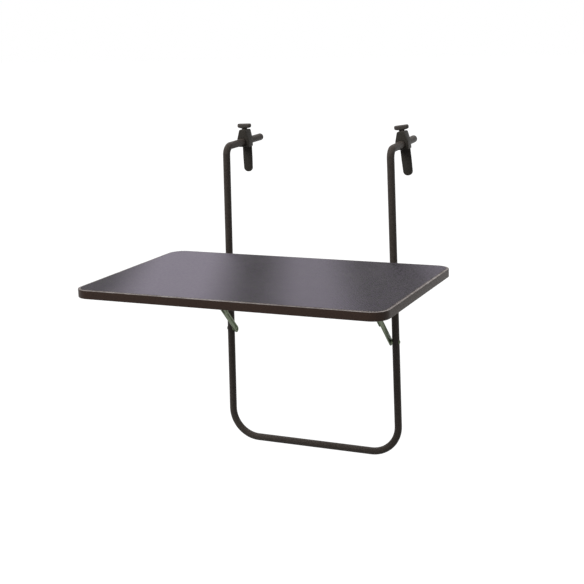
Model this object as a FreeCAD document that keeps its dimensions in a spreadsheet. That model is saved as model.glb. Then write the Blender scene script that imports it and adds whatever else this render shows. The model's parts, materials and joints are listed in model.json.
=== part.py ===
"""Small folding table that hangs on a balcony handrail by two hooked arms.

X runs along the handrail, +Y goes over it, away from the table, and Z is up. The fronts of the
handrail and the backs of the legs share the plane Y = 0, and the arms come off the handrail's top
at Z = 0. Each left piece mirrors its right twin, apart from the clamps, which sit as they were left.
"""
import FreeCAD, Part
import math
import os
import types

import Sketcher

Vector = FreeCAD.Vector
Rotation = FreeCAD.Rotation
Placement = FreeCAD.Placement

# Driving sizes, in millimetres and degrees.
SIZES = {
    "tube_diameter": 14.0,
    "tube_wall": 1.5,
    "arm_half_spacing": 174.85,
    "arm_reach": 142.6,
    "arm_rise": 1.8,
    "arm_toe_in": 1.4,
    "hook_bend": 17.0,
    "foot_half_spacing": 185.7,
    "foot_bar_depth": 605.8,
    "foot_bend": 58.0,
    "cap_depth": 14.0,
    "cap_head": 4.8,
    "cap_bevel": 3.0,
    "cap_gap": 0.05,
    "weep_diameter": 4.0,
    "table_width": 600.0,
    "table_depth": 384.0,
    "table_drop": 210.5,
    "table_gap": 1.0,
    "corner_radius": 30.0,
    "rim_width": 15.0,
    "rim_height": 14.6,
    "rim_wall": 1.2,
    "rim_edge": 1.5,
    "drain_diameter": 4.0,
    "drain_inset": 60.0,
    "mesh_recess": 1.0,
    "mesh_thickness": 1.5,
    "mesh_gap": 0.3,
    "mesh_long_pitch": 64.0,
    "mesh_short_pitch": 32.0,
    "mesh_strand": 3.2,
    "bar_width": 14.0,
    "bar_height": 11.6,
    "bar_wall": 1.2,
    "hinge_drop": 23.0,
    "stay_span": 138.0,
    "pin_diameter": 5.0,
    "pin_gap": 0.05,
    "side_gap": 0.3,
    "head_diameter": 9.0,
    "head_height": 1.8,
    "inner_head_height": 1.1,
    "ear_thickness": 2.2,
    "ear_radius": 9.0,
    "ear_foot": 13.0,
    "ear_clearance": 0.7,
    "foot_spacer_diameter": 11.0,
    "foot_spacer_length": 1.85,
    "foot_head_height": 1.6,
    "link_clearance": 0.45,
    "lower_link_width": 13.5,
    "lower_link_depth": 3.4,
    "lower_link_wall": 1.2,
    "lower_link_end": 3.0,
    "upper_link_width": 12.0,
    "upper_link_thickness": 2.2,
    "upper_link_tail": 35.6,
    "knee_spacer_diameter": 9.0,
    "knee_head_height": 1.4,
    "top_head_height": 0.9,
    "bracket_gap": 0.4,
    "bracket_thickness": 2.2,
    "bracket_radius": 7.0,
    "bracket_length": 24.0,
    "bracket_lap": 7.0,
    "bracket_flange": 12.0,
    "jaw_place": 75.0,
    "jaw_depth": 22.0,
    "jaw_width": 24.0,
    "jaw_bottom": 10.8,
    "jaw_straight": 2.0,
    "jaw_neck_width": 17.0,
    "jaw_neck_height": 15.0,
    "jaw_top_width": 14.0,
    "jaw_top": 23.2,
    "jaw_gap": 0.25,
    "jaw_lean_left": 0.0,
    "jaw_lean_right": 6.0,
    "tongue_width": 18.0,
    "tongue_thickness": 4.5,
    "tongue_length": 64.3,
    "nut_across_flats": 10.0,
    "nut_height": 5.0,
    "nut_roof": 13.5,
    "nut_gap": 0.1,
    "screw_diameter": 6.0,
    "screw_gap": 0.2,
    "screw_lift": 0.3,
    "knob_length": 27.5,
    "knob_width": 13.0,
    "knob_height": 7.5,
    "knob_flare": 2.9,
    "knob_neck_diameter": 9.0,
    "knob_neck_height": 1.8,
    "knob_gap": 1.0,
    "knob_socket": 8.0,
    "knob_turn_left": 15.0,
    "knob_turn_right": 22.0,
}

SIDES = {"left": -1, "right": 1}
AXIS_X = Vector(1, 0, 0)
AXIS_Y = Vector(0, 1, 0)
AXIS_Z = Vector(0, 0, 1)

doc = FreeCAD.newDocument("railing_table")
sheet = doc.addObject("Spreadsheet::Sheet", "sizes")
for row, (name, value) in enumerate(SIZES.items(), start=1):
    sheet.set(f"A{row}", name)
    sheet.set(f"B{row}", str(value))
    sheet.setAlias(f"B{row}", name)
doc.recompute()
size = types.SimpleNamespace(**{name: float(sheet.get(name)) for name in SIZES})
pieces = []


def keep(feature, label):
    """Name a finished piece and list it for export."""
    feature.Label = label
    pieces.append(feature)
    return feature


def tie(feature, **fields):
    """Bind fields of a feature to expressions over the sheet."""
    for field, expression in fields.items():
        feature.setExpression(field, expression)
    return feature


def primitive(kind, name, place, **fields):
    """Part primitive at a placement, with its sizes bound."""
    feature = doc.addObject("Part::" + kind, name)
    feature.Placement = place
    return tie(feature, **fields)


def boolean(kind, name, base, tool):
    """Cut or fuse of two shapes."""
    feature = doc.addObject("Part::" + kind, name)
    feature.Base = base
    feature.Tool = tool
    return feature


def fuse(name, shapes):
    """One shape out of several that meet."""
    feature = doc.addObject("Part::MultiFuse", name)
    feature.Shapes = shapes
    return feature


def along(start, direction):
    """Placement whose Z runs from a point along a direction."""
    return Placement(start, Rotation(AXIS_Z, direction))


def new_sketch(body, name, role, offset=0.0):
    """Sketch on one of the body's own origin planes, or at an offset from it."""
    sketch = body.newObject("Sketcher::SketchObject", name)
    plane = next(item for item in body.Origin.OriginFeatures if item.Role == role)
    sketch.AttachmentSupport = [(plane, "")]
    sketch.MapMode = "FlatFace"
    sketch.AttachmentOffset = Placement(Vector(0, 0, offset), Rotation())
    return sketch


def bound_constraint(sketch, label, expression, constraint):
    """Add a dimension and bind it."""
    number = sketch.addConstraint(constraint)
    sketch.renameConstraint(number, label)
    sketch.setExpression("Constraints." + label, expression)


def draw_circle(sketch, label, expression, radius, x=0.0, y=0.0):
    """Circle with a bound radius."""
    item = sketch.addGeometry(Part.Circle(Vector(x, y, 0), AXIS_Z, radius), False)
    bound_constraint(sketch, label, expression, Sketcher.Constraint("Radius", item, radius))


def draw_outline(sketch, corners):
    """Closed outline through (x, y, radius) corners, its rounded corners as tangent arcs."""
    count = len(corners)
    stretches = []
    for index, (x, y, radius) in enumerate(corners):
        here = Vector(x, y, 0)
        before = Vector(corners[index - 1][0], corners[index - 1][1], 0) - here
        after = Vector(*corners[(index + 1) % count][:2], 0) - here
        before.normalize()
        after.normalize()
        half = before.getAngle(after) / 2
        run = radius / math.tan(half)
        inward = (before + after).normalize() if radius else Vector()
        centre = here + inward * (radius / math.sin(half))
        stretches.append((here + before * run, centre - inward * radius, here + after * run, radius))
    for index, (start, middle, end, radius) in enumerate(stretches):
        if radius:
            sketch.addGeometry(Part.Arc(start, middle, end), False)
        sketch.addGeometry(Part.LineSegment(end, stretches[(index + 1) % count][0]), False)


def draw_rectangle(sketch, half_x, half_y, radius):
    """Rectangle about the sketch's centre, with rounded corners."""
    draw_outline(sketch, [(-half_x, -half_y, radius), (half_x, -half_y, radius),
                          (half_x, half_y, radius), (-half_x, half_y, radius)])


def draw_slot(sketch, start, end, radius):
    """Slot with round ends, from one centre on the sketch's x axis to another."""
    quarter = math.pi / 2
    for centre, first in ((start, quarter), (end, -quarter)):
        circle = Part.Circle(Vector(centre, 0, 0), AXIS_Z, radius)
        sketch.addGeometry(Part.ArcOfCircle(circle, first, first + math.pi), False)
    for side in (-radius, radius):
        sketch.addGeometry(Part.LineSegment(Vector(start, side, 0), Vector(end, side, 0)), False)


def pad(body, sketch, name, length, reverse=False, midplane=False):
    """Pad with a bound length."""
    feature = body.newObject("PartDesign::Pad", name)
    feature.Profile = sketch
    feature.Reversed = reverse
    feature.Midplane = midplane
    return tie(feature, Length=length)


def pocket(body, sketch, name, length, reverse=False, midplane=False):
    """Pocket with a bound length, which has to take something away."""
    before = body.Tip.Shape.Volume if body.Tip.Shape.Solids else recomputed_volume(body)
    feature = body.newObject("PartDesign::Pocket", name)
    feature.Profile = sketch
    feature.Reversed = reverse
    feature.Midplane = midplane
    tie(feature, Length=length)
    doc.recompute()
    if feature.Shape.Volume > before - 0.01:
        raise RuntimeError(f"{name} takes nothing away")
    return feature


def recomputed_volume(body):
    """Volume of a body once its last feature is built."""
    doc.recompute()
    return body.Tip.Shape.Volume


def bevel_edges(body, name, expression, wanted):
    """Chamfer on the tip's edges that the test picks."""
    doc.recompute()
    base = body.Tip
    edges = [f"Edge{number + 1}" for number, edge in enumerate(base.Shape.Edges) if wanted(edge.BoundBox)]
    feature = body.newObject("PartDesign::Chamfer", name)
    feature.Base = (base, edges)
    return tie(feature, Size=expression)


def pair(label, members):
    """Matching pieces of one body, left and right, as separate solids of one node."""
    group = doc.addObject("Part::Compound", label)
    group.Links = members
    return keep(group, label)


# Places that several pieces share.
tube_radius = size.tube_diameter / 2
leg_y = -tube_radius
rise = math.radians(size.arm_rise)
toe_in = math.radians(size.arm_toe_in)
table_rear_y = -size.tube_diameter - size.table_gap
table_middle_y = table_rear_y - size.table_depth / 2
rim_underside_z = -size.table_drop - size.rim_height
hinge_z = -size.table_drop - size.hinge_drop
foot_pivot_z = hinge_z - size.stay_span
top_pivot_y = leg_y - size.stay_span
link_length = size.stay_span / math.sqrt(2)


def arm_way(side):
    """Direction of an arm, which rises a little and closes in on the other arm."""
    return Vector(-side * math.sin(toe_in) * math.cos(rise), math.cos(toe_in) * math.cos(rise), math.sin(rise))


def arm_point(side, y):
    """Point of an arm's centre line at a distance behind the handrail's front."""
    corner = Vector(side * size.arm_half_spacing, leg_y, tube_radius / math.cos(rise) + leg_y * math.tan(rise))
    way = arm_way(side)
    return corner + way * ((y - leg_y) / way.y)


def foot_corner(side):
    """Corner where a leg's centre line meets the foot bar's."""
    return Vector(side * size.foot_half_spacing, leg_y, -size.foot_bar_depth)


def leg_centre_x(z):
    """Distance from the midplane to the legs' centre lines at a height."""
    top = arm_point(1, leg_y)
    share = (top.z - z) / (top.z - foot_corner(1).z)
    return size.arm_half_spacing + share * (size.foot_half_spacing - size.arm_half_spacing)


# Layers beside a leg, as distances from the midplane. The lower link lies next to the leg when the
# table is folded, and the upper link passes inside the hinge pin's inner head.
folded_knee_z = foot_pivot_z + link_length
folded_room_x = leg_centre_x(folded_knee_z) - tube_radius - size.link_clearance
spacer_room_x = leg_centre_x(foot_pivot_z) - tube_radius - size.foot_spacer_length - size.side_gap
lower_outer_x = min(folded_room_x, spacer_room_x)
lower_inner_x = lower_outer_x - size.lower_link_depth
lower_web_x = lower_outer_x - size.lower_link_wall
ear_room_x = leg_centre_x(hinge_z) - tube_radius - size.ear_clearance - size.ear_thickness
head_room_x = ear_room_x - size.side_gap - size.inner_head_height - size.bracket_gap
upper_outer_x = min(lower_inner_x - size.side_gap, head_room_x)
upper_inner_x = upper_outer_x - size.upper_link_thickness
bracket_outer_x = upper_inner_x - size.bracket_gap
bracket_inner_x = bracket_outer_x - size.bracket_thickness
hinge_head_x = upper_outer_x + size.bracket_gap
ear_inner_x = hinge_head_x + size.inner_head_height + size.side_gap


def bent_line(points, bends):
    """Straight runs through points, with a tangent arc of its own radius at each inner one."""
    edges = []
    start = points[0]
    for before_point, here, after_point, bend in zip(points, points[1:], points[2:], bends):
        before = (before_point - here).normalize()
        after = (after_point - here).normalize()
        half = before.getAngle(after) / 2
        inward = (before + after).normalize()
        centre = here + inward * (bend / math.sin(half))
        enter = here + before * (bend / math.tan(half))
        leave = here + after * (bend / math.tan(half))
        edges.append(Part.LineSegment(start, enter).toShape())
        edges.append(Part.Arc(enter, centre - inward * bend, leave).toShape())
        start = leave
    edges.append(Part.LineSegment(start, points[-1]).toShape())
    return Part.Wire(edges)


# One tube bent into two hooked arms, two legs and a foot bar, drilled for the pins and rivets.
tube_line = doc.addObject("Part::Feature", "tube_line")
tube_line.Shape = bent_line(
    [arm_point(-1, size.arm_reach), arm_point(-1, leg_y), foot_corner(-1),
     foot_corner(1), arm_point(1, leg_y), arm_point(1, size.arm_reach)],
    [size.hook_bend, size.foot_bend, size.foot_bend, size.hook_bend])

tube_section = primitive("Circle", "tube_section", along(arm_point(-1, size.arm_reach), arm_way(-1) * -1),
                         Radius="sizes.tube_diameter / 2")
tube_outside = doc.addObject("Part::Sweep", "tube_outside")
tube_outside.Sections = [tube_section]
tube_outside.Spine = (tube_line, [f"Edge{number + 1}" for number in range(len(tube_line.Shape.Edges))])
tube_outside.Solid = True
tube_outside.Frenet = False
hollows = []
for number, run in enumerate(tube_line.Shape.Edges[::2]):
    bore = primitive("Cylinder", f"tube_bore_{number}", along(run.valueAt(run.FirstParameter),
                                                              run.tangentAt(run.FirstParameter)),
                     Radius="sizes.tube_diameter / 2 - sizes.tube_wall")
    bore.Height = run.Length
    hollows.append(bore)
for word, side in SIDES.items():
    for place, z in (("hinge", hinge_z), ("foot", foot_pivot_z)):
        start = Vector(side * (leg_centre_x(z) - size.tube_diameter), leg_y, z)
        hollows.append(primitive("Cylinder", f"{place}_drilling_{word}", along(start, AXIS_X * side),
                                 Radius="sizes.pin_diameter / 2 + sizes.pin_gap",
                                 Height="sizes.tube_diameter * 2"))
hollows.append(primitive("Cylinder", "weep_hole", along(Vector(0, leg_y, -size.foot_bar_depth), AXIS_Z * -1),
                         Radius="sizes.weep_diameter / 2", Height="sizes.tube_diameter"))
keep(boolean("Cut", "frame_tube", tube_outside, fuse("tube_hollows", hollows)), "u_frame_tube")

# Plastic plugs that close the arms' rear ends.
arm_caps = []
for word, side in SIDES.items():
    end = arm_point(side, size.arm_reach)
    head = primitive("Cylinder", f"cap_head_{word}", along(end, arm_way(side)),
                     Radius="sizes.tube_diameter / 2", Height="sizes.cap_head")
    doc.recompute()
    bevel = doc.addObject("Part::Chamfer", f"cap_bevel_{word}")
    bevel.Base = head
    rear_edge = max(range(len(head.Shape.Edges)), key=lambda item: head.Shape.Edges[item].CenterOfMass.y)
    bevel.Edges = [(rear_edge + 1, size.cap_bevel, size.cap_bevel)]
    stem = primitive("Cylinder", f"cap_stem_{word}", along(end - arm_way(side) * size.cap_depth, arm_way(side)),
                     Radius="sizes.tube_diameter / 2 - sizes.tube_wall - sizes.cap_gap", Height="sizes.cap_depth")
    arm_caps.append(fuse(f"cap_{word}", [bevel, stem]))
pair("arm_caps", arm_caps)


def rivet(name, side, y, z, inner_x, outer_x, inner_head=None, outer_head=None):
    """Rivet along X between two distances from the midplane; each head's height is an expression."""
    shank = primitive("Cylinder", name + "_shank", along(Vector(side * inner_x, y, z), AXIS_X * side),
                      Radius="sizes.pin_diameter / 2")
    shank.Height = outer_x - inner_x
    solids = [shank]
    for end, x, way, height in (("inner", inner_x, -side, inner_head), ("outer", outer_x, side, outer_head)):
        if height:
            solids.append(primitive("Cylinder", f"{name}_{end}_head",
                                    along(Vector(side * x, y, z), AXIS_X * way),
                                    Radius="sizes.head_diameter / 2", Height=height))
    return fuse(name, solids) if len(solids) > 1 else shank


# Pins that the frame holds: the table's hinge pins, and the stays' foot rivets with their spacers.
hinge_pins = []
foot_rivets = []
foot_spacers = []
for word, side in SIDES.items():
    hinge_pins.append(rivet(f"hinge_{word}", side, leg_y, hinge_z, hinge_head_x + size.inner_head_height,
                            leg_centre_x(hinge_z) + tube_radius,
                            inner_head="sizes.inner_head_height", outer_head="sizes.head_height"))
    foot_rivets.append(rivet(f"foot_{word}", side, leg_y, foot_pivot_z, lower_web_x - size.side_gap,
                             leg_centre_x(foot_pivot_z) + tube_radius,
                             inner_head="sizes.foot_head_height", outer_head="sizes.head_height"))
    start = Vector(side * (lower_outer_x + size.side_gap), leg_y, foot_pivot_z)
    blank = primitive("Cylinder", f"spacer_blank_{word}", along(start, AXIS_X * side),
                      Radius="sizes.foot_spacer_diameter / 2")
    blank.Height = leg_centre_x(foot_pivot_z) - lower_outer_x - size.side_gap
    bore = primitive("Cylinder", f"spacer_bore_{word}", along(start, AXIS_X * side),
                     Radius="sizes.pin_diameter / 2 + sizes.pin_gap", Height="sizes.tube_diameter")
    leg_way = (foot_corner(side) - arm_point(side, leg_y)).normalize()
    leg_start = Vector(side * leg_centre_x(foot_pivot_z), leg_y, foot_pivot_z) - leg_way * size.tube_diameter
    saddle = primitive("Cylinder", f"spacer_saddle_{word}", along(leg_start, leg_way),
                       Radius="sizes.tube_diameter / 2", Height="sizes.tube_diameter * 2")
    foot_spacers.append(boolean("Cut", f"spacer_{word}", blank, fuse(f"spacer_cuts_{word}", [bore, saddle])))
pair("hinge_pins", hinge_pins)
pair("stay_foot_rivets", foot_rivets)
pair("stay_foot_spacers", foot_spacers)

# Table rim: square tube in a ring with round corners, drained through its underside.
half_width = size.table_width / 2
half_depth = size.table_depth / 2
rim = doc.addObject("PartDesign::Body", "rim")
ring = new_sketch(rim, "rim_ring", "XY_Plane")
draw_rectangle(ring, half_width, half_depth, size.corner_radius)
draw_rectangle(ring, half_width - size.rim_width, half_depth - size.rim_width,
               size.corner_radius - size.rim_width)
pad(rim, ring, "rim_tube", "sizes.rim_height", midplane=True)
bevel_edges(rim, "rim_rounding", "sizes.rim_edge",
            lambda box: box.ZLength < 0.01 and abs(abs(box.ZMax) - size.rim_height / 2) < 0.01)
hollow = new_sketch(rim, "rim_hollow", "XY_Plane")
draw_rectangle(hollow, half_width - size.rim_wall, half_depth - size.rim_wall,
               size.corner_radius - size.rim_wall)
draw_rectangle(hollow, half_width - size.rim_width + size.rim_wall,
               half_depth - size.rim_width + size.rim_wall,
               size.corner_radius - size.rim_width + size.rim_wall)
pocket(rim, hollow, "rim_inside", "sizes.rim_height - 2 * sizes.rim_wall", midplane=True)
drains = new_sketch(rim, "rim_drains", "XY_Plane")
for x in (-1, 1):
    for y in (-1, 1):
        draw_circle(drains, f"drain_{x + 1}{y + 1}", "sizes.drain_diameter / 2", size.drain_diameter / 2,
                    x * (half_width - size.drain_inset), y * (half_depth - size.rim_width / 2))
pocket(rim, drains, "rim_drain_holes", "sizes.rim_height")
rim.Placement = Placement(Vector(0, table_middle_y, -size.table_drop - size.rim_height / 2), Rotation())
keep(rim, "top_rim")

# Expanded-metal sheet inside the rim, drawn with its diamonds enlarged.
sheet_half_x = half_width - size.rim_width - size.mesh_gap
sheet_half_y = half_depth - size.rim_width - size.mesh_gap
sheet_corner = size.corner_radius - size.rim_width - size.mesh_gap


def sheet_outline():
    """Edge of the sheet, a rectangle with round corners."""
    edges = []
    corners = [(1, 1), (-1, 1), (-1, -1), (1, -1)]
    for turn, (x, y) in enumerate(corners):
        centre = Vector(x * (sheet_half_x - sheet_corner), y * (sheet_half_y - sheet_corner), 0)
        circle = Part.Circle(centre, AXIS_Z, sheet_corner)
        start = turn * math.pi / 2
        edges.append(Part.ArcOfCircle(circle, start, start + math.pi / 2).toShape())
    for here, following in zip(edges[:4], edges[1:4] + edges[:1]):
        edges.append(Part.LineSegment(here.lastVertex().Point, following.firstVertex().Point).toShape())
    return Part.Wire(Part.sortEdges(edges)[0])


def expanded_sheet():
    """Holed face of staggered diamonds, extruded to the sheet's thickness."""
    half_long = size.mesh_long_pitch / 2
    half_short = size.mesh_short_pitch / 2
    strand = size.mesh_strand * math.hypot(half_long, half_short) / 2
    open_x = half_long - strand / half_short
    open_y = half_short - strand / half_long
    wires = [sheet_outline()]
    rows = int((sheet_half_y - size.mesh_strand - open_y) / half_short)
    columns = int((sheet_half_x - size.mesh_strand - open_x) / half_long)
    for row in range(-rows, rows + 1):
        for column in range(-columns, columns + 1):
            if (row + column) % 2 == 0:
                x = column * half_long
                y = row * half_short
                wires.append(Part.makePolygon([Vector(x + open_x, y, 0), Vector(x, y + open_y, 0),
                                               Vector(x - open_x, y, 0), Vector(x, y - open_y, 0),
                                               Vector(x + open_x, y, 0)]))
    print("diamonds", len(wires) - 1)
    return Part.makeFace(wires, "Part::FaceMakerBullseye").extrude(Vector(0, 0, -size.mesh_thickness))


mesh_top_z = -size.table_drop - size.mesh_recess
mesh = doc.addObject("Part::Feature", "mesh")
mesh.Shape = expanded_sheet()
mesh.Placement = Placement(Vector(0, table_middle_y, mesh_top_z), Rotation())
keep(mesh, "mesh_panel")

# Bars under the sheet, from the rim's rear side to its front side.
bar_top_z = mesh_top_z - size.mesh_thickness
bar_bottom_z = bar_top_z - size.bar_height
bar_front_y = table_rear_y - size.table_depth + size.rim_width
for word, side in SIDES.items():
    low_x = min(side * bracket_inner_x, side * (bracket_inner_x - size.bar_width))
    outside = primitive("Box", f"bar_outside_{word}",
                        Placement(Vector(low_x, bar_front_y, bar_bottom_z), Rotation()),
                        Length="sizes.bar_width", Width="sizes.table_depth - 2 * sizes.rim_width",
                        Height="sizes.bar_height")
    inside = primitive("Box", f"bar_inside_{word}",
                       Placement(Vector(low_x + size.bar_wall, bar_front_y, bar_bottom_z + size.bar_wall),
                                 Rotation()),
                       Length="sizes.bar_width - 2 * sizes.bar_wall",
                       Width="sizes.table_depth - 2 * sizes.rim_width",
                       Height="sizes.bar_height - 2 * sizes.bar_wall")
    keep(boolean("Cut", f"bar_{word}", outside, inside), f"under_bar_{word}")


def side_pad(body, name, side, inner_x, length, draw):
    """Pad on a plane square to X, which grows away from the midplane from a distance to it."""
    sketch = new_sketch(body, name + "_outline", "YZ_Plane", side * inner_x)
    draw(sketch)
    return pad(body, sketch, name, length, reverse=side < 0)


def draw_ear(sketch):
    """Round ear about the hinge pin, up to the rim's underside."""
    top = rim_underside_z - hinge_z
    rear = table_rear_y - leg_y - size.table_gap
    round_corner = size.ear_radius * 0.99
    draw_outline(sketch, [(rear - size.ear_foot, top, 0), (rear, top, 0),
                          (rear * 0.5, size.ear_radius, size.ear_radius * 0.2),
                          (size.ear_radius, size.ear_radius, round_corner),
                          (size.ear_radius, -size.ear_radius, round_corner),
                          (-size.ear_radius, -size.ear_radius, size.ear_radius * 0.6)])
    draw_circle(sketch, "eye", "sizes.pin_diameter / 2 + sizes.pin_gap", size.pin_diameter / 2 + size.pin_gap)


def draw_bracket(sketch):
    """Plate about the upper pivot, which laps the bar's side."""
    bar_bottom = bar_bottom_z - hinge_z
    half = size.bracket_length / 2
    lobe = size.bracket_radius
    draw_outline(sketch, [(-half, bar_bottom + size.bracket_lap, 1), (-half, bar_bottom - lobe / 2, lobe / 2),
                          (-lobe, -lobe, lobe * 0.8), (lobe, -lobe, lobe * 0.8),
                          (half, bar_bottom - lobe / 2, lobe / 2), (half, bar_bottom + size.bracket_lap, 1)])
    draw_circle(sketch, "eye", "sizes.pin_diameter / 2 + sizes.pin_gap", size.pin_diameter / 2 + size.pin_gap)


def draw_flange(sketch):
    """Section of the bracket's foot, which lies under the bar."""
    bar_bottom = bar_bottom_z - hinge_z
    half = size.bracket_length / 2
    draw_outline(sketch, [(-half, bar_bottom - size.bracket_thickness, 0),
                          (half, bar_bottom - size.bracket_thickness, 0), (half, bar_bottom, 0),
                          (-half, bar_bottom, 0)])


# Ears that carry the table on the hinge pins, and brackets that tie it to the stays.
head_rivets = []
for word, side in SIDES.items():
    ear = doc.addObject("PartDesign::Body", f"ear_{word}")
    side_pad(ear, f"ear_plate_{word}", side, ear_inner_x, "sizes.ear_thickness", draw_ear)
    ear.Placement = Placement(Vector(0, leg_y, hinge_z), Rotation())
    keep(ear, f"hinge_ear_{word}")

    bracket = doc.addObject("PartDesign::Body", f"bracket_{word}")
    side_pad(bracket, f"bracket_plate_{word}", side, bracket_inner_x, "sizes.bracket_thickness", draw_bracket)
    side_pad(bracket, f"bracket_foot_{word}", side, bracket_inner_x - size.bracket_flange,
             "sizes.bracket_flange", draw_flange)
    bracket.Placement = Placement(Vector(0, top_pivot_y, hinge_z), Rotation())
    keep(bracket, f"stay_bracket_{word}")
    head_rivets.append(rivet(f"top_{word}", side, top_pivot_y, hinge_z, bracket_inner_x,
                             upper_outer_x + size.pin_gap,
                             inner_head="sizes.knee_head_height", outer_head="sizes.top_head_height"))
pair("stay_head_rivets", head_rivets)

# Stays: a channel from each leg to the knee, and a flat link from the knee up to the table. Both
# run along their body's local y axis, which is turned into the stay's slope.
knee_y = leg_y - link_length * math.cos(math.radians(45))
knee_z = foot_pivot_z + link_length * math.sin(math.radians(45))
eye = "sizes.pin_diameter / 2 + sizes.pin_gap"
eye_radius = size.pin_diameter / 2 + size.pin_gap


def draw_lower_link(sketch):
    """Round-ended channel with its foot eye and its knee eye."""
    draw_slot(sketch, -size.lower_link_end, link_length, size.lower_link_width / 2)
    draw_circle(sketch, "foot_eye", eye, eye_radius)
    draw_circle(sketch, "knee_eye", eye, eye_radius, link_length)


def draw_upper_link(sketch):
    """Round-ended flat bar that runs on past the knee."""
    draw_slot(sketch, 0, link_length + size.upper_link_tail - size.upper_link_width / 2,
              size.upper_link_width / 2)
    draw_circle(sketch, "top_eye", eye, eye_radius)
    draw_circle(sketch, "knee_eye", eye, eye_radius, link_length)


for word, side in SIDES.items():
    lower = doc.addObject("PartDesign::Body", f"lower_{word}")
    side_pad(lower, f"lower_bar_{word}", side, lower_inner_x, "sizes.lower_link_depth", draw_lower_link)
    trough = new_sketch(lower, f"lower_trough_{word}", "YZ_Plane", side * lower_inner_x)
    draw_slot(trough, -size.lower_link_end, link_length, size.lower_link_width / 2 - size.lower_link_wall)
    pocket(lower, trough, f"lower_channel_{word}", "sizes.lower_link_depth - sizes.lower_link_wall",
           reverse=side > 0)
    lower.Placement = Placement(Vector(0, leg_y, foot_pivot_z), Rotation(AXIS_X, 135))
    keep(lower, f"stay_lower_link_{word}")

    collar_inner_x = upper_outer_x + size.side_gap
    collar = primitive("Cylinder", f"collar_{word}",
                       along(Vector(side * collar_inner_x, knee_y, knee_z), AXIS_X * side),
                       Radius="sizes.knee_spacer_diameter / 2")
    collar.Height = lower_web_x - collar_inner_x
    collar_bore = primitive("Cylinder", f"collar_bore_{word}", collar.Placement, Radius=eye)
    collar_bore.Height = lower_web_x - collar_inner_x
    keep(boolean("Cut", f"knee_collar_{word}", collar, collar_bore), f"knee_spacer_{word}")
    keep(rivet(f"knee_{word}", side, knee_y, knee_z, collar_inner_x, lower_outer_x), f"knee_rivet_{word}")

    upper = doc.addObject("PartDesign::Body", f"upper_{word}")
    side_pad(upper, f"upper_bar_{word}", side, upper_inner_x, "sizes.upper_link_thickness", draw_upper_link)
    upper.Placement = Placement(Vector(0, top_pivot_y, hinge_z), Rotation(AXIS_X, -45))
    keep(upper, f"stay_upper_link_{word}")
    keep(rivet(f"knee_head_{word}", side, knee_y, knee_z, upper_inner_x, upper_outer_x,
               inner_head="sizes.knee_head_height"), f"knee_rivet_head_{word}")


def draw_jaw(sketch):
    """Front view of a jaw: straight round the arm, then drawn in to a narrow top."""
    wide = size.jaw_width / 2
    neck = size.jaw_neck_width / 2
    top = size.jaw_top_width / 2
    draw_outline(sketch, [(-wide, -size.jaw_bottom, 1.5), (wide, -size.jaw_bottom, 1.5),
                          (wide, size.jaw_straight, 6), (neck, size.jaw_neck_height, 8),
                          (top, size.jaw_top, 2.5), (-top, size.jaw_top, 2.5),
                          (-neck, size.jaw_neck_height, 8), (-wide, size.jaw_straight, 6)])


def draw_tongue(sketch):
    """Front view of the tongue: straight sides and a round end."""
    half = size.tongue_width / 2
    draw_outline(sketch, [(half, -size.jaw_bottom + 2, 0), (-half, -size.jaw_bottom + 2, 0),
                          (-half, -size.tongue_length, half * 0.99), (half, -size.tongue_length, half * 0.99)])


def jaw_body(word):
    """Moulded jaw: block, tongue, bore for the arm, nut seat and screw hole."""
    jaw = doc.addObject("PartDesign::Body", f"jaw_{word}")
    front = new_sketch(jaw, f"jaw_front_{word}", "XZ_Plane")
    draw_jaw(front)
    pad(jaw, front, f"jaw_block_{word}", "sizes.jaw_depth", midplane=True)
    tongue = new_sketch(jaw, f"tongue_front_{word}", "XZ_Plane", -size.jaw_depth / 2)
    draw_tongue(tongue)
    pad(jaw, tongue, f"tongue_{word}", "sizes.tongue_thickness")
    bore = new_sketch(jaw, f"arm_hole_{word}", "XZ_Plane")
    draw_circle(bore, "arm_radius", "sizes.tube_diameter / 2 + sizes.jaw_gap", tube_radius + size.jaw_gap)
    pocket(jaw, bore, f"arm_bore_{word}", "sizes.jaw_depth + 2", midplane=True)
    seat = new_sketch(jaw, f"nut_outline_{word}", "XY_Plane")
    corner = (size.nut_across_flats / 2 + size.nut_gap) / math.cos(math.radians(30))
    draw_outline(seat, [(corner * math.cos(math.radians(60 * step)), corner * math.sin(math.radians(60 * step)), 0)
                        for step in range(6)])
    pocket(jaw, seat, f"nut_seat_{word}", "sizes.nut_roof", reverse=True)
    hole = new_sketch(jaw, f"screw_outline_{word}", "XY_Plane")
    draw_circle(hole, "screw_radius", "sizes.screw_diameter / 2 + sizes.screw_gap",
                size.screw_diameter / 2 + size.screw_gap)
    pocket(jaw, hole, f"screw_hole_{word}", "sizes.jaw_top + 1", reverse=True)
    return jaw


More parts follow.
